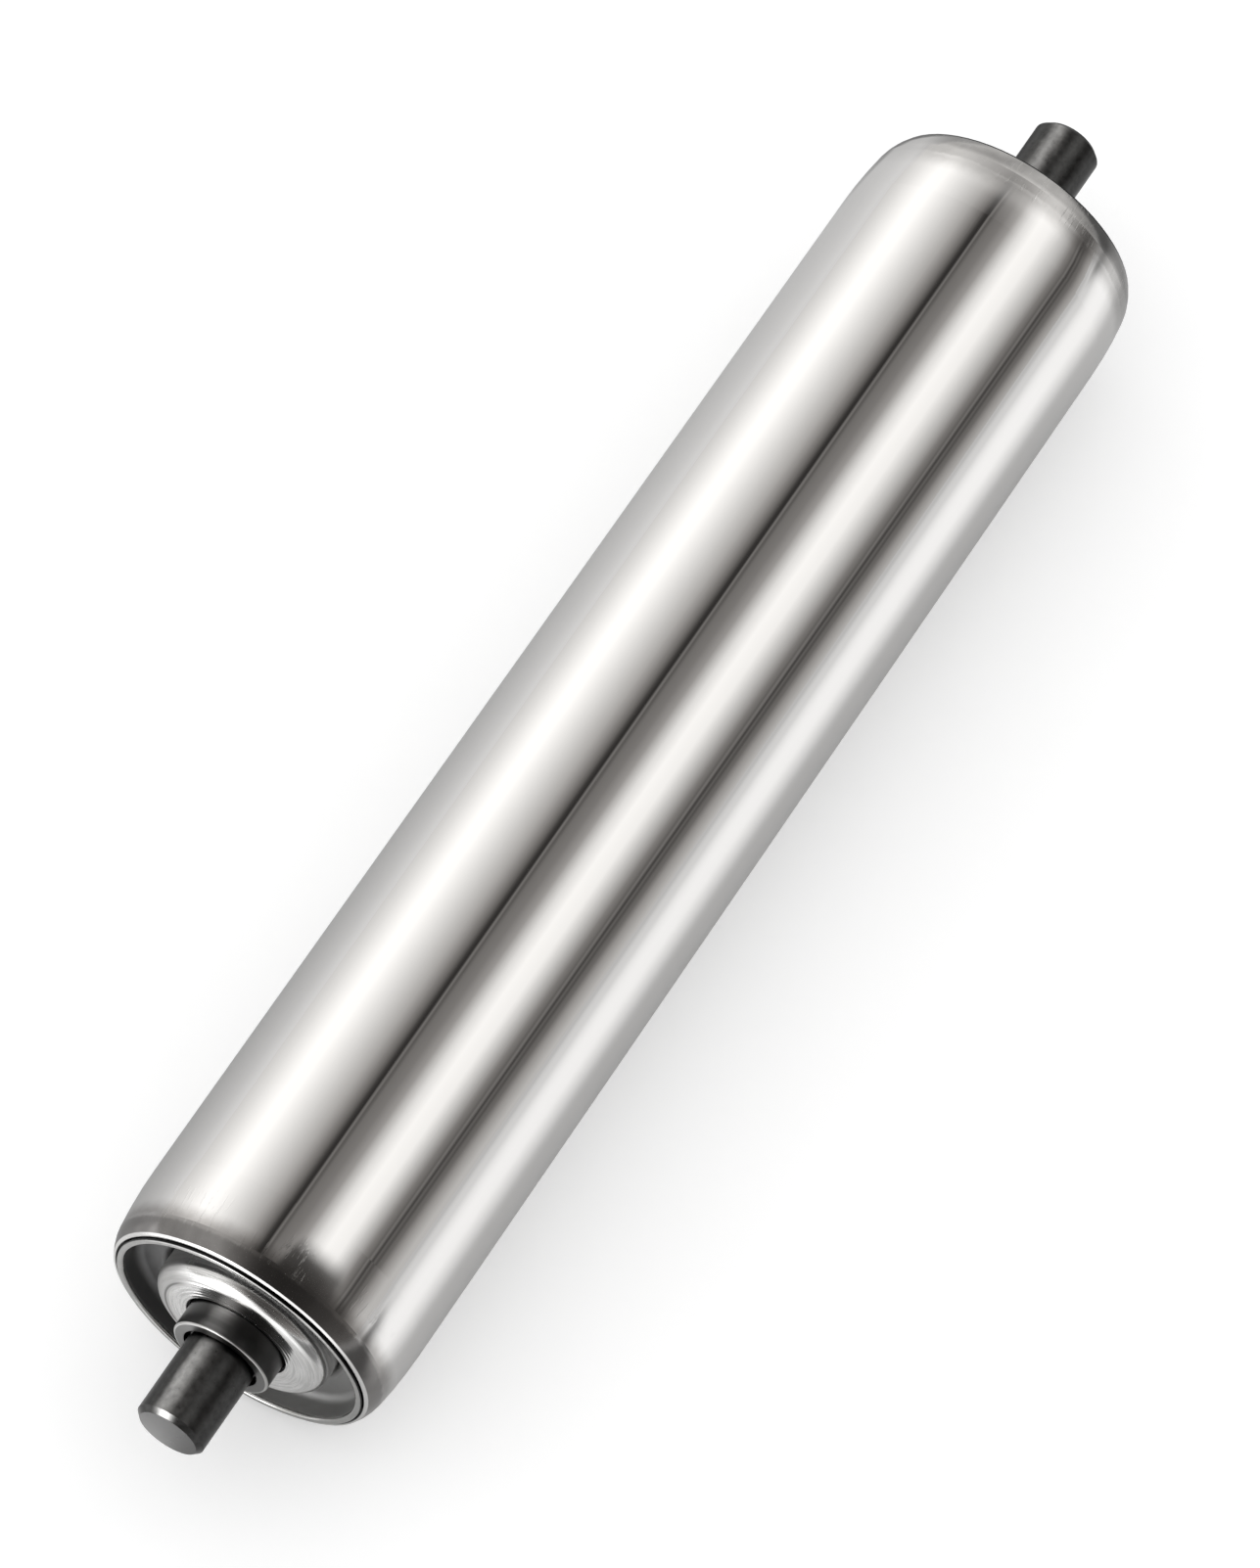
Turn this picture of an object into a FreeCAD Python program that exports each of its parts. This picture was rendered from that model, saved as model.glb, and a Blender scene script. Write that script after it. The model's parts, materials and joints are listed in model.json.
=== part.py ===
# Spring-loaded gravity conveyor roller: crowned steel tube on two caged ball bearings,
# turning on a round axle that slides in against a spring at its near end.
# Millimetres. X runs along the axle, the near end is at -X, +Z is up.
# The origin is the middle of the axle. Each end is drawn once, in its own frame:
# u is the distance along X inwards from the tube's end face, r the distance from the axis.

import FreeCAD
import Part
import math
import os

from FreeCAD import Vector

# Roller and tube
roller_length = 236.4
tube_diameter = 50.0
tube_wall = 1.5
crown_radius = 70.0
crown_angle = 8.0
lip_radius = 8.5
lip_angle = 33.0
lip_width = 0.45
lip_edge_round = 0.15
seam_gap = 0.2
seam_depth = 0.8

# Axle
axle_diameter = 12.0
axle_chamfer = 0.85
axle_stub = 19.8
relief_width = 1.0
relief_depth = 0.25

# Bearing housing, pressed from sheet
housing_sheet = 1.2
rim_proud = 0.5
rim_edge_round = 0.45
rim_inner_round = 0.45
dish_floor_round = 1.5
dish_depth = 4.4
housing_fit = 0.02
bend_radius = 0.2
pocket_hole_radius = 12.0

# Ball bearing
ball_diameter = 4.76
ball_count = 8
ball_pitch_radius = 10.0
groove_clearance = 0.1
outer_race_radius = 14.6
outer_race_width = 10.0
outer_race_front = 1.2
outer_land_radius = 11.6
race_chamfer = 0.5
inner_race_radius = 8.6
inner_race_back = 13.4
axle_clearance = 0.05
collar_protrusion = 5.5
collar_round = 0.35
collar_mouth_gap = 0.65
collar_mouth_depth = 2.5
inner_race_chamfer = 0.3

# Ball cage
cage_clearance = 0.65
cage_front_overhang = 1.2
cage_back_overhang = 3.4
cage_pocket_clearance = 0.12

# Dust cap, seal and grease shield
cap_sheet = 0.8
cap_front = -1.1
cap_shoulder_round = 2.6
cap_hole_radius = 9.05
cap_hole_round = 0.25
cap_fit = 0.03
seal_clearance = 0.3
seal_chamfer = 0.4
shield_thickness = 0.5
shield_clearance = 0.4

# Retaining rings and their grooves in the axle
ring_thickness = 1.0
ring_width = 1.9
ring_offset = 0.35
ring_gap_angle = 36.0
ring_lug_width = 2.6
ring_lug_reach = 3.1
ring_lug_hole = 1.5
groove_depth = 0.25
groove_play = 0.1
ring_fit = 0.03

# Spring and the washer that it pushes
spring_wire = 1.4
spring_mean_diameter = 14.8
spring_length = 40.0
spring_coils = 8.0
washer_thickness = 1.0
washer_radius = 10.2
washer_clearance = 0.15

# How far a cutting shape reaches past the metal
cut_margin = 1.0

# Worked out from the sizes above
tube_radius = tube_diameter / 2
axle_radius = axle_diameter / 2
tube_length = roller_length - 2 * rim_proud
axle_length = roller_length + 2 * axle_stub
near_tip_x = -axle_length / 2
far_tip_x = axle_length / 2
near_face_x = -tube_length / 2
far_face_x = tube_length / 2
lip_outer_radius = (
    tube_radius
    - crown_radius * (1 - math.cos(math.radians(crown_angle)))
    - lip_radius * (math.cos(math.radians(crown_angle)) - math.cos(math.radians(lip_angle)))
)
crown_length = (
    crown_radius * math.sin(math.radians(crown_angle))
    + lip_radius * (math.sin(math.radians(lip_angle)) - math.sin(math.radians(crown_angle)))
)
seam_radius = lip_outer_radius - lip_width
mouth_radius = seam_radius - seam_gap
cap_radius = outer_race_radius + cap_fit + cap_sheet
pocket_radius = cap_radius + cap_fit
outer_race_back = outer_race_front + outer_race_width
pocket_floor = outer_race_back + shield_thickness
dish_floor = dish_depth - rim_proud
ball_u = outer_race_front + outer_race_width / 2
ball_radius = ball_diameter / 2
groove_radius = ball_radius + groove_clearance
spring_start = inner_race_back
washer_front = spring_start + spring_length
ring_near_u = inner_race_back
ring_far_u = washer_front + washer_thickness
ring_groove_radius = axle_radius - groove_depth


def point(u, r):
    """A point of a section, in the plane that holds the axis."""
    return Vector(u, 0, r)


def turned(edges):
    """Revolve a closed section about the axis."""
    wire = Part.Wire(edges)
    face = Part.Face(wire)
    return face.revolve(Vector(0, 0, 0), Vector(1, 0, 0), 360)


def turned_polygon(corners):
    """Revolve a section given by its (u, r) corners."""
    points = [point(u, r) for u, r in corners]
    points.append(points[0])
    return turned(Part.makePolygon(points).Edges)


def circles_at(shape, u, r):
    """The round edges of a turned piece at one place of its section."""
    found = []
    for edge in shape.Edges:
        if not isinstance(edge.Curve, Part.Circle):
            continue
        at_u = abs(edge.Curve.Center.x - u) < 1e-4
        at_r = abs(edge.Curve.Radius - r) < 1e-4
        if at_u and at_r:
            found.append(edge)
    return found


def rounded(shape, u, r, size):
    """Round the corner of a turned piece at (u, r)."""
    return shape.makeFillet(size, circles_at(shape, u, r))


def chamfered(shape, u, r, size):
    """Chamfer the corner of a turned piece at (u, r)."""
    return shape.makeChamfer(size, circles_at(shape, u, r))


def ring(inner_radius, outer_radius, start, end):
    """A plain flat ring or sleeve."""
    corners = [
        (start, inner_radius),
        (start, outer_radius),
        (end, outer_radius),
        (end, inner_radius),
    ]
    return turned_polygon(corners)


def at_near_end(shape):
    """Put a piece drawn in the end frame at the near end."""
    placed = shape.copy()
    placed.translate(Vector(near_face_x, 0, 0))
    return placed


def at_far_end(shape):
    """Put a piece drawn in the end frame at the far end, turned round."""
    placed = shape.copy()
    placed.rotate(Vector(0, 0, 0), Vector(0, 0, 1), 180)
    placed.translate(Vector(far_face_x, 0, 0))
    return placed


def arc_point(centre_u, centre_r, radius, degrees):
    """A point on an arc of the crown, at an angle from the radial direction towards the end."""
    angle = math.radians(degrees)
    return point(centre_u - radius * math.sin(angle), centre_r + radius * math.cos(angle))


def crown_edges():
    """The outside and inside of one tube end, from the end face to the straight wall."""
    crown_centre_r = tube_radius - crown_radius
    turn = math.radians(crown_angle)
    lip_centre_u = crown_length - (crown_radius - lip_radius) * math.sin(turn)
    lip_centre_r = crown_centre_r + (crown_radius - lip_radius) * math.cos(turn)
    outer_end = point(0, lip_outer_radius)
    lip_middle = arc_point(lip_centre_u, lip_centre_r, lip_radius, (crown_angle + lip_angle) / 2)
    knee = arc_point(crown_length, crown_centre_r, crown_radius, crown_angle)
    crown_middle = arc_point(crown_length, crown_centre_r, crown_radius, crown_angle / 2)
    outer_start = point(crown_length, tube_radius)
    inner_radius = crown_radius - tube_wall
    inner_middle = arc_point(crown_length, crown_centre_r, inner_radius, crown_angle / 2)
    inner_knee = arc_point(crown_length, crown_centre_r, inner_radius, crown_angle)
    inner_start = point(crown_length, tube_radius - tube_wall)
    seat_depth = inner_knee.x - (inner_knee.z - mouth_radius) / math.tan(turn)
    seat_end = point(seat_depth, mouth_radius)
    seat_start = point(seam_depth, mouth_radius)
    seam_floor = point(seam_depth, seam_radius)
    mouth = point(0, seam_radius)
    outside = [
        Part.Arc(outer_end, lip_middle, knee).toShape(),
        Part.Arc(knee, crown_middle, outer_start).toShape(),
    ]
    inside = [
        Part.Arc(inner_start, inner_middle, inner_knee).toShape(),
        Part.LineSegment(inner_knee, seat_end).toShape(),
        Part.LineSegment(seat_end, seat_start).toShape(),
        Part.LineSegment(seat_start, seam_floor).toShape(),
        Part.LineSegment(seam_floor, mouth).toShape(),
    ]
    return outside, inside, mouth, outer_end


def tube():
    """Steel tube with both ends drawn in to a crown and bored to seat the bearing housings."""
    outside, inside, mouth, outer_end = crown_edges()
    mirror_at = Vector(tube_length / 2, 0, 0)
    far_outside = [edge.mirror(mirror_at, Vector(1, 0, 0)) for edge in outside]
    far_inside = [edge.mirror(mirror_at, Vector(1, 0, 0)) for edge in inside]
    far_u = tube_length - crown_length
    outer_wall = Part.LineSegment(point(crown_length, tube_radius), point(far_u, tube_radius))
    bore_radius = tube_radius - tube_wall
    inner_wall = Part.LineSegment(point(crown_length, bore_radius), point(far_u, bore_radius))
    near_face = Part.LineSegment(mouth, outer_end)
    far_face = Part.LineSegment(
        point(tube_length, seam_radius), point(tube_length, lip_outer_radius)
    )
    straight = [line.toShape() for line in (outer_wall, inner_wall, near_face, far_face)]
    edges = Part.__sortEdges__(outside + inside + far_outside + far_inside + straight)
    shell = turned(edges)
    for u in (0, tube_length):
        shell = rounded(shell, u, seam_radius, lip_edge_round)
    return at_near_end(shell)


def bearing_housing():
    """Pressed cup: wall seated in the tube's mouth, dish, and a pocket for the capped bearing."""
    wall_outer = mouth_radius - housing_fit
    wall_inner = wall_outer - housing_sheet
    pocket_outer = pocket_radius + housing_sheet
    corners = [
        (-rim_proud, wall_outer),
        (-rim_proud, wall_inner),
        (dish_floor, wall_inner),
        (dish_floor, pocket_radius),
        (pocket_floor, pocket_radius),
        (pocket_floor, pocket_hole_radius),
        (pocket_floor + housing_sheet, pocket_hole_radius),
        (pocket_floor + housing_sheet, pocket_outer),
        (dish_floor + housing_sheet, pocket_outer),
        (dish_floor + housing_sheet, wall_outer),
    ]
    cup = turned_polygon(corners)
    cup = rounded(cup, -rim_proud, wall_outer, rim_edge_round)
    cup = rounded(cup, -rim_proud, wall_inner, rim_inner_round)
    cup = rounded(cup, dish_floor, wall_inner, dish_floor_round)
    cup = rounded(cup, dish_floor + housing_sheet, wall_outer, dish_floor_round + housing_sheet)
    cup = rounded(cup, dish_floor, pocket_radius, bend_radius + housing_sheet)
    cup = rounded(cup, dish_floor + housing_sheet, pocket_outer, bend_radius)
    cup = rounded(cup, pocket_floor + housing_sheet, pocket_outer, bend_radius + housing_sheet)
    return cup


def dust_cap():
    """Drawn steel cap round the bearing, with a rounded shoulder and a hole for the collar."""
    inner_radius = cap_radius - cap_sheet
    cap_back = cap_front + cap_sheet
    corners = [
        (cap_front, cap_hole_radius),
        (cap_front, cap_radius),
        (pocket_floor, cap_radius),
        (pocket_floor, inner_radius),
        (cap_back, inner_radius),
        (cap_back, cap_hole_radius),
    ]
    cap = turned_polygon(corners)
    cap = rounded(cap, cap_front, cap_radius, cap_shoulder_round)
    cap = rounded(cap, cap_back, inner_radius, cap_shoulder_round - cap_sheet)
    cap = rounded(cap, cap_front, cap_hole_radius, cap_hole_round)
    return cap


def outer_race():
    """Outer ring of the bearing, with its ball groove."""
    race = ring(outer_land_radius, outer_race_radius, outer_race_front, outer_race_back)
    for u in (outer_race_front, outer_race_back):
        race = chamfered(race, u, outer_race_radius, race_chamfer)
    return race.cut(ball_groove())


def inner_race():
    """Inner ring of the bearing, which runs out through the cap as a collar on the axle."""
    bore_radius = axle_radius + axle_clearance
    race = ring(bore_radius, inner_race_radius, -collar_protrusion, inner_race_back)
    race = rounded(race, -collar_protrusion, inner_race_radius, collar_round)
    race = chamfered(race, inner_race_back, inner_race_radius, inner_race_chamfer)
    race = chamfered(race, inner_race_back, bore_radius, inner_race_chamfer)
    mouth_end = collar_mouth_depth - collar_protrusion
    mouth = ring(axle_radius, axle_radius + collar_mouth_gap, -collar_protrusion, mouth_end)
    return race.cut([ball_groove(), mouth])


def ball_groove():
    """The ring-shaped channel that the balls run in."""
    centre = Vector(ball_u, 0, 0)
    return Part.makeTorus(ball_pitch_radius, groove_radius, centre, Vector(1, 0, 0))


def ball_centres():
    """Places of the ball centres round the bearing."""
    centres = []
    for index in range(ball_count):
        angle = 2 * math.pi * index / ball_count
        y = ball_pitch_radius * math.cos(angle)
        z = ball_pitch_radius * math.sin(angle)
        centres.append(Vector(ball_u, y, z))
    return centres


def bearing_balls():
    """The ring of balls."""
    return Part.makeCompound([Part.makeSphere(ball_radius, centre) for centre in ball_centres()])


def ball_cage():
    """Snap cage: a ring between the races with a round pocket for each ball."""
    inner_radius = inner_race_radius + cage_clearance
    outer_radius = outer_land_radius - cage_clearance
    cage = ring(inner_radius, outer_radius, ball_u - cage_front_overhang, ball_u + cage_back_overhang)
    pockets = [
        Part.makeSphere(ball_radius + cage_pocket_clearance, centre) for centre in ball_centres()
    ]
    return cage.cut(pockets)


def seal_ring():
    """Soft ring between the cap and the outer race, close round the collar."""
    start = cap_front + cap_sheet
    outer_radius = cap_radius - cap_shoulder_round
    seal = ring(inner_race_radius + seal_clearance, outer_radius, start, outer_race_front)
    return chamfered(seal, start, outer_radius, seal_chamfer)


def grease_shield():
    """Thin washer behind the bearing that keeps the grease in."""
    inner_radius = inner_race_radius + shield_clearance
    return ring(inner_radius, outer_race_radius, outer_race_back, pocket_floor)


def axle():
    """Drawn round bar with chamfered ends, ring grooves and a relief under each collar."""
    bar = Part.makeCylinder(axle_radius, axle_length, Vector(near_tip_x, 0, 0), Vector(1, 0, 0))
    for x in (near_tip_x, far_tip_x):
        bar = chamfered(bar, x, axle_radius, axle_chamfer)
    over_radius = axle_radius + cut_margin
    relief = ring(
        axle_radius - relief_depth, over_radius, -collar_protrusion, relief_width - collar_protrusion
    )
    near_groove = ring(
        ring_groove_radius, over_radius, ring_near_u - groove_play, ring_near_u + ring_thickness
    )
    far_groove = ring(
        ring_groove_radius, over_radius, ring_far_u - groove_play, ring_far_u + ring_thickness
    )
    cuts = [
        at_near_end(relief),
        at_far_end(relief),
        at_near_end(near_groove),
        at_far_end(far_groove),
    ]
    return bar.cut(cuts)


def retaining_ring(start):
    """Spring steel ring that snaps into a groove, with two lugs and plier holes."""
    inner_radius = ring_groove_radius + ring_fit
    outer_radius = inner_radius + ring_width - ring_offset
    along = Vector(1, 0, 0)
    body = Part.makeCylinder(outer_radius, ring_thickness, Vector(start, 0, -ring_offset), along)
    half_gap = math.radians(ring_gap_angle / 2)
    lugs = []
    holes = []
    for side in (-1, 1):
        lug = Part.makeBox(
            ring_thickness,
            ring_lug_width,
            inner_radius + ring_lug_reach,
            Vector(start, -ring_lug_width / 2, 0),
        )
        turn = side * math.degrees(half_gap + math.asin(ring_lug_width / 2 / inner_radius))
        lug.rotate(Vector(0, 0, 0), along, turn)
        lugs.append(lug)
        hole_radius = inner_radius + ring_lug_reach - ring_lug_hole
        hole_angle = math.radians(turn)
        centre = Vector(start, -hole_radius * math.sin(hole_angle), hole_radius * math.cos(hole_angle))
        holes.append(Part.makeCylinder(ring_lug_hole / 2, ring_thickness, centre, along))
    gap_reach = inner_radius + ring_lug_reach + cut_margin
    gap_half = gap_reach * math.tan(half_gap)
    gap = Part.Face(
        Part.makePolygon(
            [
                Vector(start, 0, 0),
                Vector(start, -gap_half, gap_reach),
                Vector(start, gap_half, gap_reach),
                Vector(start, 0, 0),
            ]
        )
    ).extrude(Vector(ring_thickness, 0, 0))
    bore = Part.makeCylinder(inner_radius, ring_thickness, Vector(start, 0, 0), along)
    return body.fuse(lugs).cut([bore, gap] + holes).removeSplitter()


def spring_washer():
    """Plain washer between the spring and its retaining ring."""
    return ring(axle_radius + washer_clearance, washer_radius, washer_front, ring_far_u)


def axle_spring():
    """Compression spring with both ends ground flat."""
    pitch = spring_length / spring_coils
    mean_radius = spring_mean_diameter / 2
    ground_off = spring_wire * spring_wire / pitch
    helix = Part.makeHelix(pitch, spring_length + 2 * ground_off, mean_radius)
    along_wire = Vector(0, 2 * math.pi * mean_radius, pitch)
    profile = Part.Wire(Part.makeCircle(spring_wire / 2, Vector(mean_radius, 0, 0), along_wire))
    coil = Part.Wire(helix).makePipeShell([profile], True, True)
    coil.rotate(Vector(0, 0, 0), Vector(0, 1, 0), 90)
    coil.translate(Vector(spring_start - ground_off, 0, 0))
    between_seats = Part.makeCylinder(
        mean_radius + spring_wire, spring_length, Vector(spring_start, 0, 0), Vector(1, 0, 0)
    )
    return coil.common(between_seats)


def build():
    """Every piece by its name."""
    pieces = {
        "tube": tube(),
        "axle": axle(),
        "axle_spring": at_far_end(axle_spring()),
        "spring_washer": at_far_end(spring_washer()),
        "retaining_ring_near": at_near_end(retaining_ring(ring_near_u)),
        "retaining_ring_far": at_far_end(retaining_ring(ring_far_u)),
    }
    makers = {
        "bearing_housing": bearing_housing,
        "dust_cap": dust_cap,
        "outer_race": outer_race,
        "inner_race": inner_race,
        "bearing_balls": bearing_balls,
        "ball_cage": ball_cage,
        "seal_ring": seal_ring,
        "grease_shield": grease_shield,
    }
    for name, maker in makers.items():
        piece = maker()
        pieces[name + "_near"] = at_near_end(piece)
        pieces[name + "_far"] = at_far_end(piece)
    return pieces


os.makedirs("parts", exist_ok=True)
for piece_name, piece_shape in build().items():
    piece_shape.exportStep("parts/" + piece_name + ".step")
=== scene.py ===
import bpy
import json
import math

from mathutils import Matrix, Vector


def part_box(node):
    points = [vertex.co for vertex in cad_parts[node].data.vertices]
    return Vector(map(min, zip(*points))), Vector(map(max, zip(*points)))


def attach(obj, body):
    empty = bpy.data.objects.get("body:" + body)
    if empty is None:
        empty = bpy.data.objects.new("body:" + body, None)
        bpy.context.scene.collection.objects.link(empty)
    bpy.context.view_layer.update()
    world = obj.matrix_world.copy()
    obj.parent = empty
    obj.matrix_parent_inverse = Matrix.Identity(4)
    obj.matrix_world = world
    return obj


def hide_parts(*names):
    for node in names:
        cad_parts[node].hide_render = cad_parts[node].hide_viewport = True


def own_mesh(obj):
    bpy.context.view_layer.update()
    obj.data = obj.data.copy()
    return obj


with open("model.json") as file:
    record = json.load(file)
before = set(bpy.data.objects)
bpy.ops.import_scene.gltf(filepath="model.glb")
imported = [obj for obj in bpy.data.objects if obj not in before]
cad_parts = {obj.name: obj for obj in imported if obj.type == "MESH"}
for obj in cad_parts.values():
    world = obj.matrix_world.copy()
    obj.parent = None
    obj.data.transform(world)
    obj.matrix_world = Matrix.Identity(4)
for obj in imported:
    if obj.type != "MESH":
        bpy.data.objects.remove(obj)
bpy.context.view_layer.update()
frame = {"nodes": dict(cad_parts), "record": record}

nodes = frame["nodes"]
scene = bpy.context.scene

# Places read from the frame, in metres.
tube_low, tube_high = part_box("tube")
tube_radius = tube_high.z
floor_height = tube_low.z
axle_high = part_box("axle")[1]
collar_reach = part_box("inner_race_far")[1].x
rim_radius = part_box("bearing_housing_far")[1].z

# Where each finish begins and is complete. Along the roller, from 0 in its middle:
far_half = (-0.01, 0.01)
rim_start = (tube_high.x - 0.0006, tube_high.x + 0.0001)
collar_front = (collar_reach - 0.00034, collar_reach - 0.00022)
axle_face = (axle_high.x - 0.00008, axle_high.x - 0.00003)

# Inwards from the end of the tube:
# Painted shade where the tube narrows and on its crown, deeper at the near end, with a painted
# highlight on the crown's ridge:
narrowing = (0.0064, 0.0034)
crown_fade = (0.0048, 0.0020)
crown_step = (0.0031, 0.0026)
crown_ridge = (0.0038, 0.0031)
far_crown_inside = (0.0024, 0.0037)
# A painted highlight on the lip, and painted shade at the far lip:
lip_start = (0.00045, 0.00030)
far_lip_start = (0.00042, 0.00030)
lip_lean = (0.00045, 0.00025)
marked_length = (0.0024, 0.0030, 0.0085, 0.0105)
far_marks_shift = 0.0035
far_crown_shift = -0.0022
raggedness = 0.0009

# Outwards from the roller's axis:
# Where the painted shade in the seam's gap begins and is complete:
tube_seam = (rim_radius + 0.00038, rim_radius + 0.00032)
rim_seam = (rim_radius - 0.00016, rim_radius - 0.00010)
far_seam_shift = -0.00012
collar_mouth = (0.0067, 0.0069)
collar_edge = (0.00818, 0.00826)
cap_ridges_inside = (0.0113, 0.0100)
cap_face_inside = (0.0130, 0.0122)
cap_shoulder = (0.0112, 0.0126)
# The painted shade line on the cap:
cap_shade_line = (0.01255, 0.01275, 0.01290, 0.01315)
cap_ridge_pitch = 0.0008

# Round the axis, in radians from the top, positive towards -Y:
# Painted light: on this side of the far end the narrowing and crown lose most of their painted shade.
lit_far_side = (-0.40, -0.70)
near_marks_side = (-0.85, -0.70, -0.30, -0.15)
far_marks_side = (-0.10, 0.10, 0.70, 0.85)
# Painted shade on one side of the cap's shoulder, and a painted shade line there:
shaded_shoulder_side = (-2.4, -2.0, -0.95, -0.45)
cap_shade_line_side = (-2.4, -2.0, -1.0, -0.70)
# A painted sheen on the axle and the collar:
painted_sheen_side = (-0.55, -0.18, -0.12, 0.30)
# The middle of the painted light on the dish's lower right:
lit_dish_middle = 2.36

# Painted shade for the gaps at the seams and at the far lip:
gap_shade = (0.02, 0.02, 0.02)
# A painted highlight for the tube's lip and the crown's ridge:
painted_highlight = (0.85, 0.84, 0.83)


# Node helpers.

def new_material(name):
    """An empty node material and its tree."""
    material = bpy.data.materials.new(name)
    material.use_nodes = True
    material.node_tree.nodes.clear()
    return material, material.node_tree


def put(tree, node, socket, value):
    """Set a socket, by a value or by a link."""
    target = node.inputs[socket]
    if isinstance(value, bpy.types.NodeSocket):
        tree.links.new(value, target)
    else:
        target.default_value = value


def math_node(tree, operation, *values):
    """One math step."""
    node = tree.nodes.new("ShaderNodeMath")
    node.operation = operation
    for index, value in enumerate(values):
        put(tree, node, index, value)
    return node.outputs[0]


def product(tree, *values):
    """All values multiplied."""
    result = values[0]
    for value in values[1:]:
        result = math_node(tree, "MULTIPLY", result, value)
    return result


def scaled(tree, value, factor, offset):
    """A value times a factor, plus an offset."""
    return math_node(tree, "MULTIPLY_ADD", value, factor, offset)


def total(tree, first, second):
    """Two values added."""
    return math_node(tree, "ADD", first, second)


def larger(tree, first, second):
    """The larger of two values."""
    return math_node(tree, "MAXIMUM", first, second)


def inverse(tree, value):
    """1 less the value."""
    return math_node(tree, "SUBTRACT", 1.0, value)


def length_of(tree, first, second):
    """The length of two parts at right angles."""
    squares = scaled(tree, first, first, product(tree, second, second))
    return math_node(tree, "SQRT", squares)


def angle_about_axis(tree, y, z):
    """The angle of a direction round the roller's axis, from the top towards -Y."""
    return math_node(tree, "ARCTAN2", product(tree, y, -1.0), z)


def vector(tree, x, y, z):
    """Three values as one vector."""
    node = tree.nodes.new("ShaderNodeCombineXYZ")
    for index, value in enumerate((x, y, z)):
        put(tree, node, index, value)
    return node.outputs[0]


def parts_of(tree, source):
    """The x, y and z of a vector."""
    node = tree.nodes.new("ShaderNodeSeparateXYZ")
    tree.links.new(source, node.inputs[0])
    return node.outputs


def smooth_step(tree, value, none, full):
    """0 at one limit and 1 at the other, with a soft change between."""
    node = tree.nodes.new("ShaderNodeMapRange")
    node.interpolation_type = "SMOOTHSTEP"
    put(tree, node, "Value", value)
    node.inputs["From Min"].default_value = none
    node.inputs["From Max"].default_value = full
    return node.outputs["Result"]


def plateau(tree, value, low, low_full, high_full, high):
    """1 between the two inner limits and 0 past the outer ones, with soft flanks."""
    rise = smooth_step(tree, value, low, low_full)
    fall = smooth_step(tree, value, high, high_full)
    return product(tree, rise, fall)


def grey(value):
    """A colour from one number or three."""
    if isinstance(value, (int, float)):
        return (value, value, value, 1.0)
    return (*value, 1.0)


def ramp(tree, factor, stops):
    """Blend between colours at places from 0 to 1."""
    node = tree.nodes.new("ShaderNodeValToRGB")
    elements = node.color_ramp.elements
    while len(elements) < len(stops):
        elements.new(0.5)
    for element, (place, colour) in zip(elements, stops):
        element.position = place
        element.color = grey(colour)
    put(tree, node, "Fac", factor)
    return node.outputs["Color"]


def mix(tree, factor, first, second, blend="MIX"):
    """Mix two colours."""
    node = tree.nodes.new("ShaderNodeMix")
    node.data_type = "RGBA"
    node.blend_type = blend
    put(tree, node, "Factor", factor)
    for index, value in ((6, first), (7, second)):
        if not isinstance(value, bpy.types.NodeSocket):
            value = grey(value)
        put(tree, node, index, value)
    return node.outputs[2]


def object_point(tree):
    """A point on the piece, in its own frame."""
    return tree.nodes.new("ShaderNodeTexCoord").outputs["Object"]


def object_place(tree):
    """A point on the piece, its x, and its distance and angle about the roller's axis."""
    place = object_point(tree)
    x, y, z = parts_of(tree, place)
    return place, x, length_of(tree, y, z), angle_about_axis(tree, y, z)


def noise(tree, place, scale, detail=3.0, stretch=(1.0, 1.0, 1.0), roughness=0.55):
    """Noise on the piece, stretched along its axes."""
    mapping = tree.nodes.new("ShaderNodeMapping")
    tree.links.new(place, mapping.inputs["Vector"])
    mapping.inputs["Scale"].default_value = stretch
    node = tree.nodes.new("ShaderNodeTexNoise")
    tree.links.new(mapping.outputs["Vector"], node.inputs["Vector"])
    node.inputs["Scale"].default_value = scale
    node.inputs["Detail"].default_value = detail
    node.inputs["Roughness"].default_value = roughness
    return node.outputs["Fac"]


def unrolled(tree, x, angle, radius):
    """Coordinates along the roller and round it, in metres on its surface."""
    return vector(tree, x, product(tree, angle, radius), 0.0)


def ring_place(tree, x, radius, angle):
    """Coordinates that change fast with the radius and slowly round the axis."""
    return vector(tree, x, radius, product(tree, angle, 0.0006))


def bump(tree, height, distance, strength=1.0, normal=None):
    """Fine relief from a height."""
    node = tree.nodes.new("ShaderNodeBump")
    node.inputs["Distance"].default_value = distance
    node.inputs["Strength"].default_value = strength
    tree.links.new(height, node.inputs["Height"])
    if normal is not None:
        tree.links.new(normal, node.inputs["Normal"])
    return node.outputs["Normal"]


def turned_normal(tree, lean=0.0):
    """The true normal of a piece turned about the roller's axis, leaning towards -X if asked."""
    coordinates = tree.nodes.new("ShaderNodeTexCoord").outputs
    normal_x, normal_y, normal_z = parts_of(tree, coordinates["Normal"])
    _, y, z = parts_of(tree, coordinates["Object"])
    outwards = scaled(tree, normal_z, z, product(tree, normal_y, y))
    sideways = length_of(tree, normal_y, normal_z)
    signed = product(tree, math_node(tree, "SIGN", outwards), sideways)
    share = math_node(tree, "DIVIDE", signed, length_of(tree, y, z))
    along = math_node(tree, "SUBTRACT", normal_x, lean)
    true = vector(tree, along, product(tree, share, y), product(tree, share, z))
    turn = tree.nodes.new("ShaderNodeVectorTransform")
    turn.vector_type = "NORMAL"
    turn.convert_from = "OBJECT"
    turn.convert_to = "WORLD"
    tree.links.new(true, turn.inputs[0])
    return turn.outputs[0]


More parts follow.
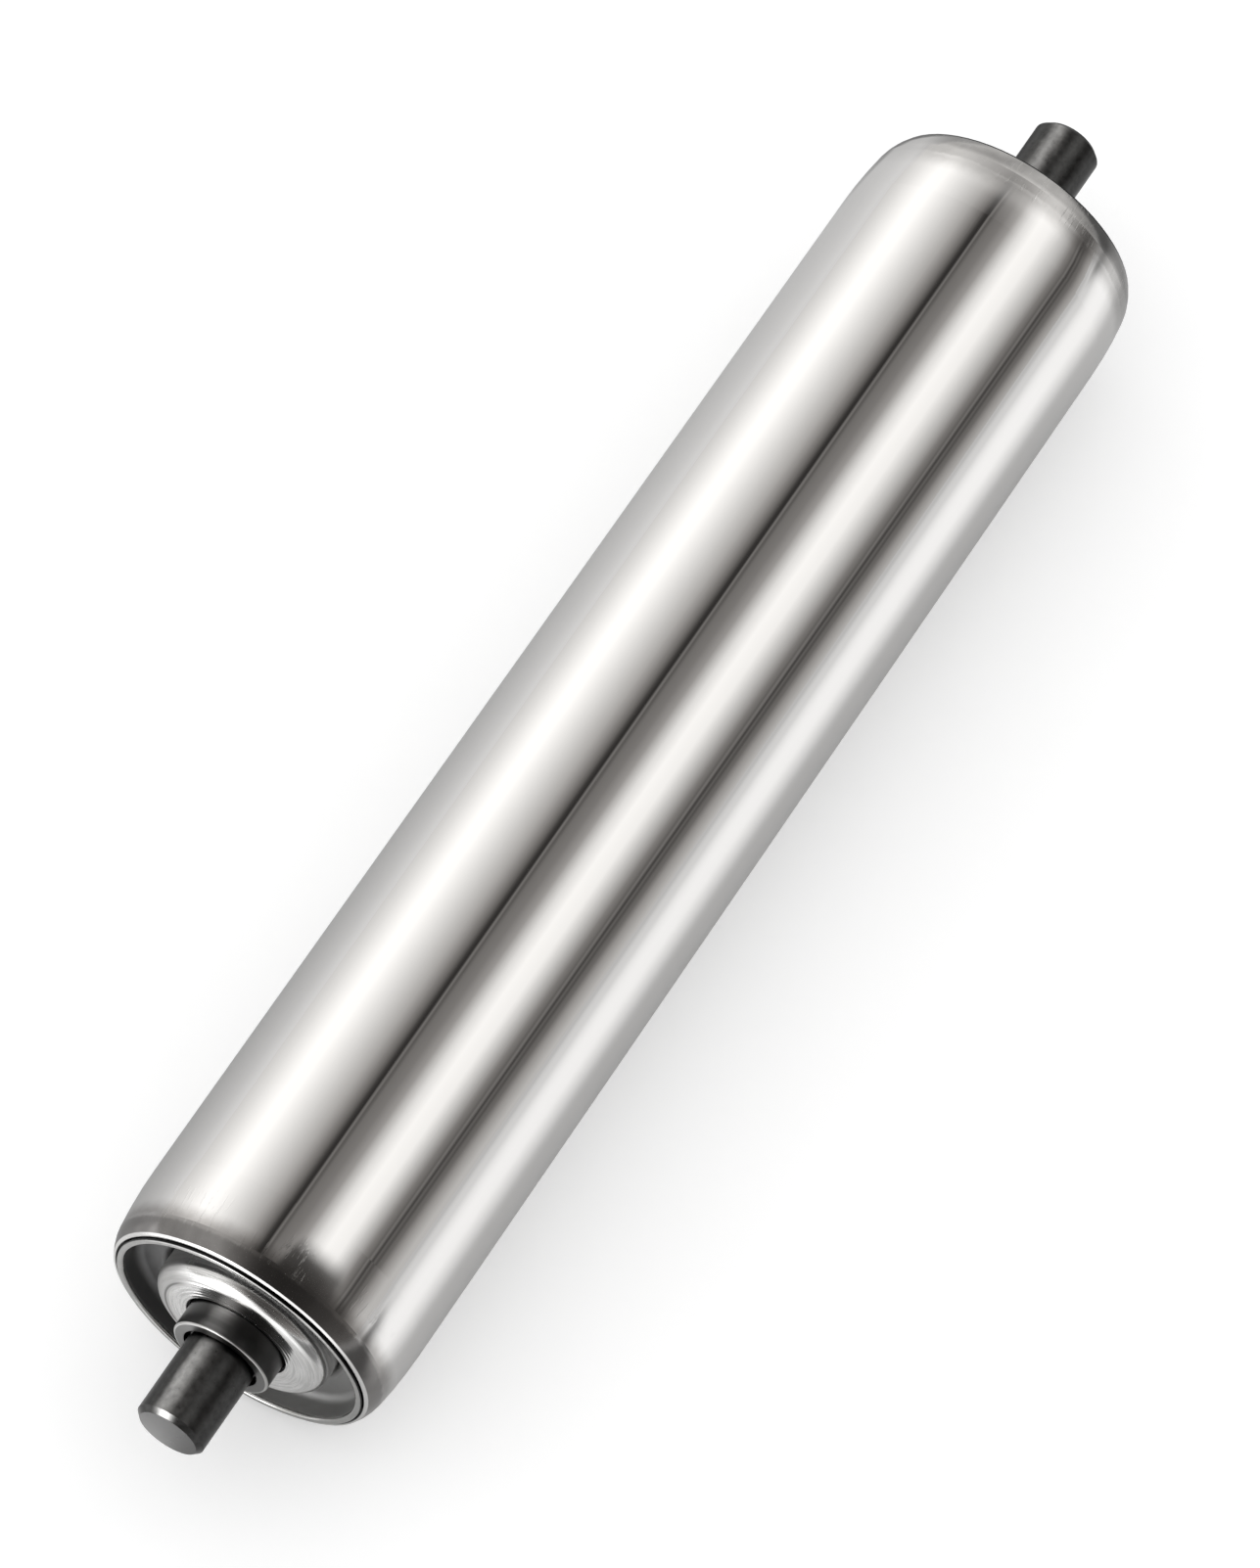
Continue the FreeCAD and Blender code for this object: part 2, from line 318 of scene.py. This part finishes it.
def principled(tree, colour, roughness, normal, metallic=1.0):
    """The surface shader and its output."""
    shader = tree.nodes.new("ShaderNodeBsdfPrincipled")
    shader.inputs["Metallic"].default_value = metallic
    tree.links.new(colour, shader.inputs["Base Color"])
    tree.links.new(roughness, shader.inputs["Roughness"])
    tree.links.new(normal, shader.inputs["Normal"])
    output = tree.nodes.new("ShaderNodeOutputMaterial")
    tree.links.new(shader.outputs[0], output.inputs["Surface"])


# Materials.

def tube_steel():
    """Bright polished tube, with duller drawn-in ends that carry painted shade, a painted highlight
    on the lip and painted shade in the seam.
    """
    material, tree = new_material("tube_steel")
    place, x, radius, angle = object_place(tree)
    from_end = math_node(tree, "SUBTRACT", tube_high.x, math_node(tree, "ABSOLUTE", x))
    far_side = smooth_step(tree, x, *far_half)
    near_side = inverse(tree, far_side)
    around = unrolled(tree, x, angle, tube_radius)
    grain = noise(tree, around, 900.0, 4.0, (0.02, 1.0, 1.0))
    blotch = noise(tree, place, 420.0, 4.0)
    marked = drawn_marks(tree, place, around, from_end, angle, near_side, far_side)

    ragged = noise(tree, around, 600.0, 3.0)
    edge = scaled(tree, ragged, raggedness, math_node(tree, "SUBTRACT", from_end, raggedness / 2))
    edge = scaled(tree, far_side, far_crown_shift, edge)
    # Painted light: on one side of the far end the narrowing and crown keep most of their bright
    # colour.
    clean = product(tree, smooth_step(tree, angle, *lit_far_side), far_side, 0.8)
    kept = inverse(tree, clean)
    drawn_in = product(tree, smooth_step(tree, edge, *narrowing), kept)
    crisp = smooth_step(tree, edge, *crown_step)
    crown = product(tree, total(tree, smooth_step(tree, edge, *crown_fade), crisp), kept, 0.5)

    steel = bare_steel(tree, place, edge, drawn_in, crisp, far_side)
    dull = dull_crown(tree, blotch, from_end, marked, far_side)
    # A painted highlight on the lip.
    lip = smooth_step(tree, from_end, *lip_start)
    lipped = mix(tree, lip, mix(tree, crown, steel, dull), painted_highlight)
    # Painted shade in the gap at the seam and at the far lip.
    seam = smooth_step(tree, radius, *tube_seam)
    far_lip_shade = product(tree, smooth_step(tree, from_end, *far_lip_start), far_side)
    colour = mix(tree, larger(tree, seam, far_lip_shade), lipped, gap_shade)

    fine = scaled(tree, grain, 0.02, 0.03)
    satin = scaled(tree, crown, 0.08, product(tree, drawn_in, 0.04))
    rough = scaled(tree, marked, 0.22, total(tree, satin, fine))
    relief = scaled(tree, marked, 4.0, grain)
    height = scaled(tree, product(tree, crown, blotch), 2.0, relief)
    lean = product(tree, smooth_step(tree, from_end, *lip_lean), near_side)
    principled(tree, colour, rough, bump(tree, height, 0.0000045, 0.4, turned_normal(tree, lean)))
    return material


def drawn_marks(tree, place, around, from_end, angle, near_side, far_side):
    """Short lengthwise marks where the ends were drawn in."""
    marks = smooth_step(tree, noise(tree, around, 1500.0, 3.0, (0.16, 1.0, 1.0), 0.6), 0.54, 0.66)
    patches = product(tree, smooth_step(tree, noise(tree, place, 90.0, 2.0), 0.50, 0.60), 0.6)
    near_patch = product(tree, plateau(tree, angle, *near_marks_side), near_side)
    far_patch = product(tree, plateau(tree, angle, *far_marks_side), far_side)
    where = larger(tree, patches, larger(tree, near_patch, far_patch))
    shifted = scaled(tree, far_side, far_marks_shift, from_end)
    return product(tree, marks, where, plateau(tree, shifted, *marked_length))


def bare_steel(tree, place, edge, drawn_in, crisp, far_side):
    """The tube's own colour, with painted shade where it narrows, deeper at the near end, and a
    painted highlight in patches along the ridge where the crown starts.
    """
    cloud = noise(tree, place, 26.0, 2.0, (0.3, 1.0, 1.0))
    tint = mix(tree, cloud, (0.765, 0.753, 0.742), (0.80, 0.79, 0.779))
    # Painted shade where the tube narrows, deeper at the near end than at the far end.
    middle = mix(tree, far_side, (0.425, 0.41, 0.398), (0.56, 0.55, 0.54))
    shoulder = mix(tree, drawn_in, tint, middle)
    # A painted highlight in patches along the ridge where the crown starts.
    highlight_patches = smooth_step(tree, noise(tree, place, 120.0, 1.0), 0.45, 0.6)
    ridge = product(tree, smooth_step(tree, edge, *crown_ridge), inverse(tree, crisp), highlight_patches)
    return mix(tree, product(tree, ridge, 0.32), shoulder, painted_highlight)


def dull_crown(tree, blotch, from_end, marked, far_side):
    """The colour of the drawn-in ends: a dull finish with painted shade, deepest at the near end and
    at the far rim.
    """
    near_dull = mix(tree, blotch, (0.203, 0.195, 0.190), (0.313, 0.303, 0.295))
    far_rim = mix(tree, blotch, (0.23, 0.225, 0.22), (0.37, 0.363, 0.356))
    far_inner = mix(tree, blotch, (0.40, 0.392, 0.384), (0.52, 0.51, 0.50))
    far_dull = mix(tree, smooth_step(tree, from_end, *far_crown_inside), far_rim, far_inner)
    dull = mix(tree, far_side, near_dull, far_dull)
    return mix(tree, product(tree, marked, 0.5), dull, (0.46, 0.455, 0.445))


def housing_steel():
    """Pressed housing: dark dish with painted light on its lower right, a brighter rim, paler again
    at the far end as a painted highlight, and painted shade in the seam.
    """
    material, tree = new_material("housing_steel")
    place, x, radius, angle = object_place(tree)
    skin = noise(tree, place, 700.0, 4.0)
    cloud = noise(tree, place, 110.0, 3.0)
    rings = noise(tree, ring_place(tree, x, radius, angle), 1300.0, 2.0)
    far_side = smooth_step(tree, x, *far_half)

    # A dark dish, with painted light on its lower right.
    dark_tone = mix(tree, cloud, (0.13, 0.13, 0.13), (0.21, 0.21, 0.21))
    lit_dish = mix(tree, cloud, (0.27, 0.27, 0.268), (0.38, 0.378, 0.374))
    lower = math_node(tree, "COSINE", math_node(tree, "SUBTRACT", angle, lit_dish_middle))
    dish = mix(tree, smooth_step(tree, lower, 0.25, 0.80), dark_tone, lit_dish)
    # The far rim's paler colour is a painted highlight.
    rim = smooth_step(tree, math_node(tree, "ABSOLUTE", x), *rim_start)
    near_rim = mix(tree, skin, (0.40, 0.40, 0.39), (0.60, 0.595, 0.585))
    rimmed = mix(tree, rim, dish, mix(tree, far_side, near_rim, (0.80, 0.795, 0.785)))
    # Painted shade in the gap at the seam.
    seam = smooth_step(tree, scaled(tree, far_side, far_seam_shift, radius), *rim_seam)
    colour = mix(tree, seam, rimmed, gap_shade)

    rough = scaled(tree, rim, -0.38, scaled(tree, skin, 0.1, 0.48))
    height = scaled(tree, rings, 0.8, skin)
    principled(tree, colour, rough, bump(tree, height, 0.000004, 0.4, turned_normal(tree)))
    return material


def cap_steel():
    """Bright pressed cap: fine rings, ridges round its hole, painted shade on one side of its
    shoulder and a painted shade line along it there.
    """
    material, tree = new_material("cap_steel")
    place, x, radius, angle = object_place(tree)
    skin = noise(tree, place, 500.0, 3.0)
    cloud = noise(tree, place, 120.0, 3.0)
    rings = noise(tree, ring_place(tree, x, radius, angle), 1900.0, 2.0)
    fine = noise(tree, ring_place(tree, x, radius, angle), 3600.0, 2.0, roughness=0.7)

    turned = smooth_step(tree, scaled(tree, cloud, 0.25, fine), 0.48, 0.76)
    clean = mix(tree, turned, (0.70, 0.696, 0.688), (0.93, 0.925, 0.915))
    # Painted shade on one side of the shoulder, and a painted shade line where the shoulder meets the
    # face there.
    shoulder_side = plateau(tree, angle, *shaded_shoulder_side)
    shoulder = product(tree, shoulder_side, smooth_step(tree, radius, *cap_shoulder))
    line = product(tree, plateau(tree, radius, *cap_shade_line), plateau(tree, angle, *cap_shade_line_side))
    shoulder_shaded = mix(tree, product(tree, shoulder, 0.7), clean, (0.36, 0.357, 0.352))
    colour = mix(tree, product(tree, line, 0.85), shoulder_shaded, (0.16, 0.158, 0.155))

    rough = scaled(tree, shoulder, 0.28, scaled(tree, skin, 0.07, 0.15))
    wave = math_node(tree, "SINE", product(tree, radius, 2 * math.pi / cap_ridge_pitch))
    near_hole = scaled(tree, smooth_step(tree, radius, *cap_ridges_inside), 0.85, 0.15)
    ridges = product(tree, wave, near_hole, smooth_step(tree, radius, *cap_face_inside))
    height = scaled(tree, ridges, 5.0, product(tree, rings, 0.6))
    principled(tree, colour, rough, bump(tree, height, 0.000006, 1.0, turned_normal(tree)))
    return material


def painted_sheen_strip(tree, angle, texture):
    """1 on a band of painted sheen along the upper left side, with edges made ragged by a texture."""
    ragged = math_node(tree, "SUBTRACT", texture, 0.5)
    return plateau(tree, scaled(tree, ragged, 0.5, angle), *painted_sheen_side)


def axle_steel():
    """Dark drawn bar: mottled, with lengthwise streaks, a painted sheen along its upper left side and
    bare sawn ends.
    """
    material, tree = new_material("axle_steel")
    place, x, _, angle = object_place(tree)
    around = unrolled(tree, x, angle, axle_high.z)
    streak = noise(tree, around, 700.0, 3.0, (0.06, 1.0, 1.0))
    mottle = noise(tree, place, 900.0, 4.0)
    # A painted sheen along the upper left side.
    sheen_strip = painted_sheen_strip(tree, angle, noise(tree, around, 260.0, 3.0, (0.35, 1.0, 1.0)))

    speckled = mix(tree, mottle, (0.018, 0.018, 0.018), (0.10, 0.099, 0.097))
    pale = mix(tree, mottle, (0.14, 0.139, 0.137), (0.50, 0.496, 0.49))
    end = smooth_step(tree, math_node(tree, "ABSOLUTE", x), *axle_face)
    face = mix(tree, mottle, (0.070, 0.0695, 0.0685), (0.105, 0.104, 0.103))
    colour = mix(tree, end, mix(tree, sheen_strip, speckled, pale), face)

    rough = scaled(tree, mottle, 0.16, 0.22)
    height = scaled(tree, streak, 0.6, mottle)
    principled(tree, colour, rough, bump(tree, height, 0.000006, 0.4, turned_normal(tree)))
    return material


def black_steel():
    """Blackened ring: satin, with turning marks, a painted sheen along its upper left side, a grey
    front and a painted highlight on its thin front edge.
    """
    material, tree = new_material("black_steel")
    place, x, radius, angle = object_place(tree)
    rings = ring_place(tree, x, radius, angle)
    turned = noise(tree, rings, 1800.0, 2.0)
    cloud = noise(tree, place, 160.0, 3.0)
    # A painted sheen along the upper left side.
    sheen_strip = painted_sheen_strip(tree, angle, cloud)

    dark_tone = mix(tree, cloud, (0.055, 0.055, 0.055), (0.10, 0.099, 0.098))
    pale = mix(tree, noise(tree, rings, 900.0, 1.0), (0.15, 0.15, 0.15), (0.44, 0.436, 0.43))
    side = mix(tree, sheen_strip, dark_tone, pale)
    ahead = smooth_step(tree, math_node(tree, "ABSOLUTE", x), *collar_front)
    front = product(tree, ahead, smooth_step(tree, radius, *collar_mouth))
    # The bright front edge is a painted highlight.
    edge = mix(tree, cloud, (0.40, 0.397, 0.39), (0.72, 0.715, 0.705))
    bare = mix(tree, smooth_step(tree, radius, *collar_edge), (0.15, 0.149, 0.147), edge)
    colour = mix(tree, front, side, bare)

    rough = scaled(tree, cloud, 0.12, 0.27)
    principled(tree, colour, rough, bump(tree, turned, 0.000005, 0.4, turned_normal(tree)))
    return material


def plain_metal(name, light, dark, roughness, scale):
    """Hidden metal, finished plainly with a fine skin."""
    material, tree = new_material(name)
    skin = noise(tree, object_point(tree), scale, 3.0)
    rough = scaled(tree, skin, 0.1, roughness)
    principled(tree, mix(tree, skin, dark, light), rough, bump(tree, skin, 0.000006, 0.3))
    return material


def moulded(name, light, dark, roughness, scale):
    """Moulded plastic or rubber with a fine skin."""
    material, tree = new_material(name)
    skin = noise(tree, object_point(tree), scale, 4.0)
    rough = scaled(tree, skin, 0.12, roughness)
    principled(tree, mix(tree, skin, dark, light), rough, bump(tree, skin, 0.00001, 0.4), 0.0)
    return material


finishes = {
    "tube_steel": tube_steel(),
    "housing_steel": housing_steel(),
    "cap_steel": cap_steel(),
    "race_steel": plain_metal("race_steel", 0.55, 0.47, 0.16, 500.0),
    "black_steel": black_steel(),
    "axle_steel": axle_steel(),
    "ball_steel": plain_metal("ball_steel", (0.78, 0.78, 0.79), (0.73, 0.73, 0.74), 0.06, 300.0),
    "cage_plastic": moulded("cage_plastic", (0.80, 0.76, 0.66), (0.74, 0.70, 0.60), 0.4, 600.0),
    "seal_rubber": moulded("seal_rubber", 0.04, 0.025, 0.55, 900.0),
    "spring_steel": plain_metal("spring_steel", 0.42, 0.33, 0.28, 700.0),
    "plated_steel": plain_metal("plated_steel", (0.66, 0.65, 0.62), (0.58, 0.57, 0.55), 0.25, 400.0),
    "dark_spring_steel": plain_metal("dark_spring_steel", 0.13, 0.08, 0.4, 800.0),
}
for part in frame["record"]["subparts"]:
    mesh = nodes[part["node"]].data
    mesh.materials.clear()
    mesh.materials.append(finishes[part["material_slot"]])


# The axle's spring, drawn again as a coil that moves with the axle.

def coil_line(low, high, wire, turns, steps):
    """The middle line of a compression coil whose turns crowd together at both ends."""
    mean = high.z - wire / 2
    start = low.x + wire / 2
    length = high.x - low.x - wire
    crowding = 0.055
    points = []
    for index in range(turns * steps + 1):
        share = index / (turns * steps)
        eased = share - crowding * math.sin(2 * math.pi * share)
        angle = 2 * math.pi * turns * share
        x = start + length * eased
        points.append(Vector((x, mean * math.cos(angle), mean * math.sin(angle))))
    return points


def wire_mesh(name, points, wire, sides):
    """A round wire along a line about the roller's axis."""
    verts = []
    faces = []
    for index, middle in enumerate(points):
        before = points[max(index - 1, 0)]
        after = points[min(index + 1, len(points) - 1)]
        along = (after - before).normalized()
        outwards = Vector((0, middle.y, middle.z)).normalized()
        across = along.cross(outwards).normalized()
        for side in range(sides):
            turn = 2 * math.pi * side / sides
            verts.append(middle + (outwards * math.cos(turn) + across * math.sin(turn)) * wire / 2)
    for index in range(len(points) - 1):
        for side in range(sides):
            a = index * sides + side
            b = index * sides + (side + 1) % sides
            faces.append((a, b, b + sides, a + sides))
    faces.append(tuple(reversed(range(sides))))
    faces.append(tuple(range(len(verts) - sides, len(verts))))
    mesh = bpy.data.meshes.new(name)
    mesh.from_pydata(verts, [], faces)
    for polygon in mesh.polygons:
        polygon.use_smooth = True
    return mesh


def spring_coil():
    """The compression spring between the far bearing and the washer."""
    low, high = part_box("axle_spring")
    wire = 0.0014
    line = coil_line(low, high, wire, turns=8, steps=40)
    mesh = wire_mesh("axle_spring_coil", line, wire, sides=14)
    mesh.materials.append(finishes["spring_steel"])
    coil = bpy.data.objects.new("axle_spring_coil", mesh)
    scene.collection.objects.link(coil)
    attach(coil, "axle")
    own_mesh(coil)
    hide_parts("axle_spring")


spring_coil()


# Floor. The bright steel shows it, so glossy rays see it darker and lighter in places. Each zone is
# given in metres from the roller's middle, as where it begins and where it is complete.

past_near_end = (-0.124, -0.165)
past_near_fade = (-0.50, -0.20)
past_far_end = (0.118, 0.180)
past_far_fade = (-0.60, -0.20)
unlit_back = (-0.022, -0.045)
behind_roller = (0.0, 0.03)
behind_inboard = (-0.128, -0.108)
beneath_roller = (-0.062, -0.042, -0.02, 0.0)
far_in_front = (-0.22, -0.90)
front_pool = (-0.26, -0.10, -0.085, -0.046)
off_near_end = (-0.150, -0.185)
off_near_front = (-0.03, -0.012)
beside_rim_x = (-0.148, -0.144, -0.1390, -0.1365)
beside_rim_y = (0.002, 0.010, 0.020, 0.028)


def beyond_ends(tree, x, y):
    """1 past the roller's two ends, from slanting lines, fading out far in front."""
    near = smooth_step(tree, scaled(tree, y, 0.38, x), *past_near_end)
    near = product(tree, near, smooth_step(tree, y, *past_near_fade))
    far = smooth_step(tree, scaled(tree, y, 0.53, x), *past_far_end)
    far = product(tree, far, smooth_step(tree, y, *past_far_fade))
    return larger(tree, near, far)


def floor_darkness(tree, x, y, skewed, past):
    """How much darker the floor is: past the ends, behind, beneath and far in front."""
    unlit = product(tree, smooth_step(tree, skewed, *unlit_back), past, 0.72)
    nearness = math_node(tree, "DIVIDE", 0.0493, total(tree, larger(tree, y, 0.0), 0.102))
    lengthwise = larger(tree, scaled(tree, x, -2.6, 1.06), 0.0)
    inboard = smooth_step(tree, x, *behind_inboard)
    behind = product(tree, nearness, lengthwise, smooth_step(tree, y, *behind_roller), inboard)
    beneath = product(tree, plateau(tree, y, *beneath_roller), 0.24)
    distant = product(tree, smooth_step(tree, y, *far_in_front), 0.25)
    return larger(tree, unlit, total(tree, behind, total(tree, beneath, distant)))


def floor_glow(tree, x, y, skewed, past):
    """How much the floor glows: in front, off the near end and beside the near rim."""
    pool = product(tree, plateau(tree, y, *front_pool), inverse(tree, past), 0.34)
    off_end = smooth_step(tree, x, *off_near_end)
    off = product(tree, off_end, smooth_step(tree, skewed, *off_near_front), 0.6)
    beside_x = plateau(tree, x, *beside_rim_x)
    beside = product(tree, beside_x, plateau(tree, y, *beside_rim_y), 2.0)
    return total(tree, pool, larger(tree, off, beside))


def floor_material():
    """White studio floor that keeps the object's shadow and comes out white for the camera."""
    material, tree = new_material("studio_floor")
    place = tree.nodes.new("ShaderNodeTexCoord").outputs["Object"]
    x, y, _ = parts_of(tree, place)
    rays = tree.nodes.new("ShaderNodeLightPath").outputs
    glossy = rays["Is Glossy Ray"]
    skewed = scaled(tree, x, -0.35, total(tree, y, -0.040))
    past = beyond_ends(tree, x, y)

    speck = noise(tree, place, 30.0, 2.0)
    held_back = product(tree, floor_darkness(tree, x, y, skewed, past), glossy)
    shade = product(tree, inverse(tree, held_back), mix(tree, speck, 0.80, 0.82))
    shader = tree.nodes.new("ShaderNodeBsdfDiffuse")
    tree.links.new(shade, shader.inputs["Color"])

    lit = product(tree, floor_glow(tree, x, y, skewed, past), glossy)
    whitened = product(tree, rays["Is Camera Ray"], 0.30)
    glow = tree.nodes.new("ShaderNodeEmission")
    tree.links.new(total(tree, lit, whitened), glow.inputs["Strength"])
    both = tree.nodes.new("ShaderNodeAddShader")
    tree.links.new(shader.outputs[0], both.inputs[0])
    tree.links.new(glow.outputs[0], both.inputs[1])
    output = tree.nodes.new("ShaderNodeOutputMaterial")
    tree.links.new(both.outputs[0], output.inputs["Surface"])
    return material


def studio_floor():
    """A wide flat floor that the roller lies on."""
    half = 12.0
    corners = [(x * half, y * half, floor_height) for x, y in ((-1, -1), (1, -1), (1, 1), (-1, 1))]
    mesh = bpy.data.meshes.new("studio_floor")
    mesh.from_pydata(corners, [], [(0, 1, 2, 3)])
    mesh.materials.append(floor_material())
    floor = bpy.data.objects.new("studio_floor", mesh)
    scene.collection.objects.link(floor)


studio_floor()


# Studio light: soft cards on both sides of the roller, with a dark gap above it. Each pair is
# an angle round the roller's axis, in degrees from the top towards -Y, and the brightness there.

middle_cards = (
    (-90, 0.55), (-79, 0.675), (-61, 0.95), (-52, 0.93), (-34, 0.62), (-19, 0.36),
    (-11, 0.175), (-8.7, 0.125), (-6.9, 0.080), (-5.2, 0.036), (-2.9, 0.018), (-1.4, 0.155),
    (0.2, 0.075), (2.5, 0.135), (9, 0.165), (16, 0.27), (25, 0.66), (33, 0.86), (43, 0.80),
    (52, 0.49), (62, 0.175), (65.2, 0.127), (66.4, 0.090), (68, 0.155), (70, 0.032),
    (71.9, 0.108), (73.5, 0.058), (75.3, 0.108), (77.5, 0.122), (82, 0.25), (90, 0.42),
)
near_cards = (
    (-90, 0.47), (-74, 0.50), (-55, 0.58), (-36, 0.60), (-16.5, 0.24), (-6, 0.11),
    (4, 0.055), (24, 0.045), (44, 0.055), (63, 0.085), (83, 0.15), (90, 0.20),
)
far_cards = ((-90, 1.0), (-38, 0.66), (0, 0.85), (29, 1.0), (63, 0.9), (90, 0.55))
card_strength = 1.42

# Along the roller, as the x of a direction: where the middle cards give way to the end ones, and
# where the dark lines low in front begin and end their slant. Its reach is in radians.
near_change = (0.14, 0.02)
far_change = (0.50, 0.86)
slant_start = 0.33
slant_end = 0.50
slant_reach = 0.085

# Lamps off the near end: direction, where each begins and is full, and brightness.
soft_lamp = ((-0.952, 0.287, 0.102), 0.84, 0.96, 0.75)
hot_lamp = ((-0.884, 0.382, 0.271), 0.965, 0.99, 3.5)


def cards(tree, share, levels):
    """Soft white cards with warmer gaps, as a blend round the roller's axis."""
    stops = []
    for degrees, level in levels:
        pale = min(level / 0.5, 1.0)
        tint = (1.03 - 0.03 * pale, 0.972 + 0.02 * pale, 0.93 + 0.048 * pale)
        stops.append((0.5 + degrees / 180, tuple(level * part for part in tint)))
    return ramp(tree, share, stops)


def slanted(tree, x, turn):
    """The angle round the axis, shifted low in front so that the dark lines there slant."""
    slant = tree.nodes.new("ShaderNodeMapRange")
    put(tree, slant, "Value", x)
    slant.inputs["From Min"].default_value = slant_start
    slant.inputs["From Max"].default_value = slant_end
    slant.inputs["To Min"].default_value = -slant_reach
    slant.inputs["To Max"].default_value = slant_reach
    shift = product(tree, slant.outputs["Result"], smooth_step(tree, turn, 0.70, 1.10))
    return math_node(tree, "SUBTRACT", turn, shift)


def lamp(tree, direction, towards, none, full, level):
    """A round lamp in one direction, from how nearly a ray points there."""
    node = tree.nodes.new("ShaderNodeVectorMath")
    node.operation = "DOT_PRODUCT"
    tree.links.new(direction, node.inputs[0])
    node.inputs[1].default_value = towards
    return product(tree, smooth_step(tree, node.outputs["Value"], none, full), level)


def reflected_studio(tree):
    """What a glossy ray sees: the cards in the middle and towards both ends, and the lamps."""
    direction = tree.nodes.new("ShaderNodeTexCoord").outputs["Generated"]
    x, y, z = parts_of(tree, direction)
    turn = angle_about_axis(tree, y, z)
    share = scaled(tree, slanted(tree, x, turn), 1 / math.pi, 0.5)
    right_card = plateau(tree, turn, 0.10, 0.30, 0.90, 1.20)
    nearness = smooth_step(tree, scaled(tree, right_card, -0.14, x), *near_change)
    nearer = mix(tree, nearness, cards(tree, share, middle_cards), cards(tree, share, near_cards))
    low_card = smooth_step(tree, turn, 0.80, 1.10)
    farness = smooth_step(tree, scaled(tree, low_card, -0.12, x), *far_change)
    both = mix(tree, farness, nearer, cards(tree, share, far_cards))
    lamps = total(tree, lamp(tree, direction, *soft_lamp), lamp(tree, direction, *hot_lamp))
    return mix(tree, 1.0, both, lamps, "ADD")


def studio_world():
    """White for the camera and for soft even light, with cards and dark gaps for reflections."""
    world = bpy.data.worlds.new("studio")
    world.use_nodes = True
    world.cycles.sampling_method = "NONE"
    scene.world = world
    tree = world.node_tree
    tree.nodes.clear()
    gloss = tree.nodes.new("ShaderNodeBackground")
    tree.links.new(reflected_studio(tree), gloss.inputs["Color"])
    gloss.inputs["Strength"].default_value = card_strength
    plain = tree.nodes.new("ShaderNodeBackground")
    plain.inputs["Color"].default_value = (1.0, 1.0, 1.0, 1.0)
    plain.inputs["Strength"].default_value = 1.0
    rays = tree.nodes.new("ShaderNodeLightPath").outputs
    choose = tree.nodes.new("ShaderNodeMixShader")
    tree.links.new(rays["Is Glossy Ray"], choose.inputs["Fac"])
    tree.links.new(plain.outputs[0], choose.inputs[1])
    tree.links.new(gloss.outputs[0], choose.inputs[2])
    output = tree.nodes.new("ShaderNodeOutputWorld")
    tree.links.new(choose.outputs[0], output.inputs["Surface"])


studio_world()


# Camera.

def photo_camera():
    """The photograph's viewpoint: a long lens, high on the near end's side."""
    azimuth = math.radians(-58.625)
    elevation = math.radians(60.887)
    distance = 1.3587
    aside = -0.001126
    above = -0.003573
    flat = math.cos(elevation)
    back = Vector((math.sin(azimuth) * flat, -math.cos(azimuth) * flat, math.sin(elevation)))
    right = Vector((math.cos(azimuth), math.sin(azimuth), 0))
    up = back.cross(right)
    data = bpy.data.cameras.new("photo_camera")
    data.sensor_fit = "AUTO"
    data.sensor_width = 36.0
    data.lens = 195.3
    data.clip_start = 0.01
    data.clip_end = 50.0
    camera = bpy.data.objects.new("photo_camera", data)
    turn = Matrix((right, up, back)).transposed().to_4x4()
    camera.matrix_world = Matrix.Translation(back * distance + right * aside + up * above) @ turn
    scene.collection.objects.link(camera)
    scene.camera = camera


photo_camera()

scene.view_settings.view_transform = "Standard"
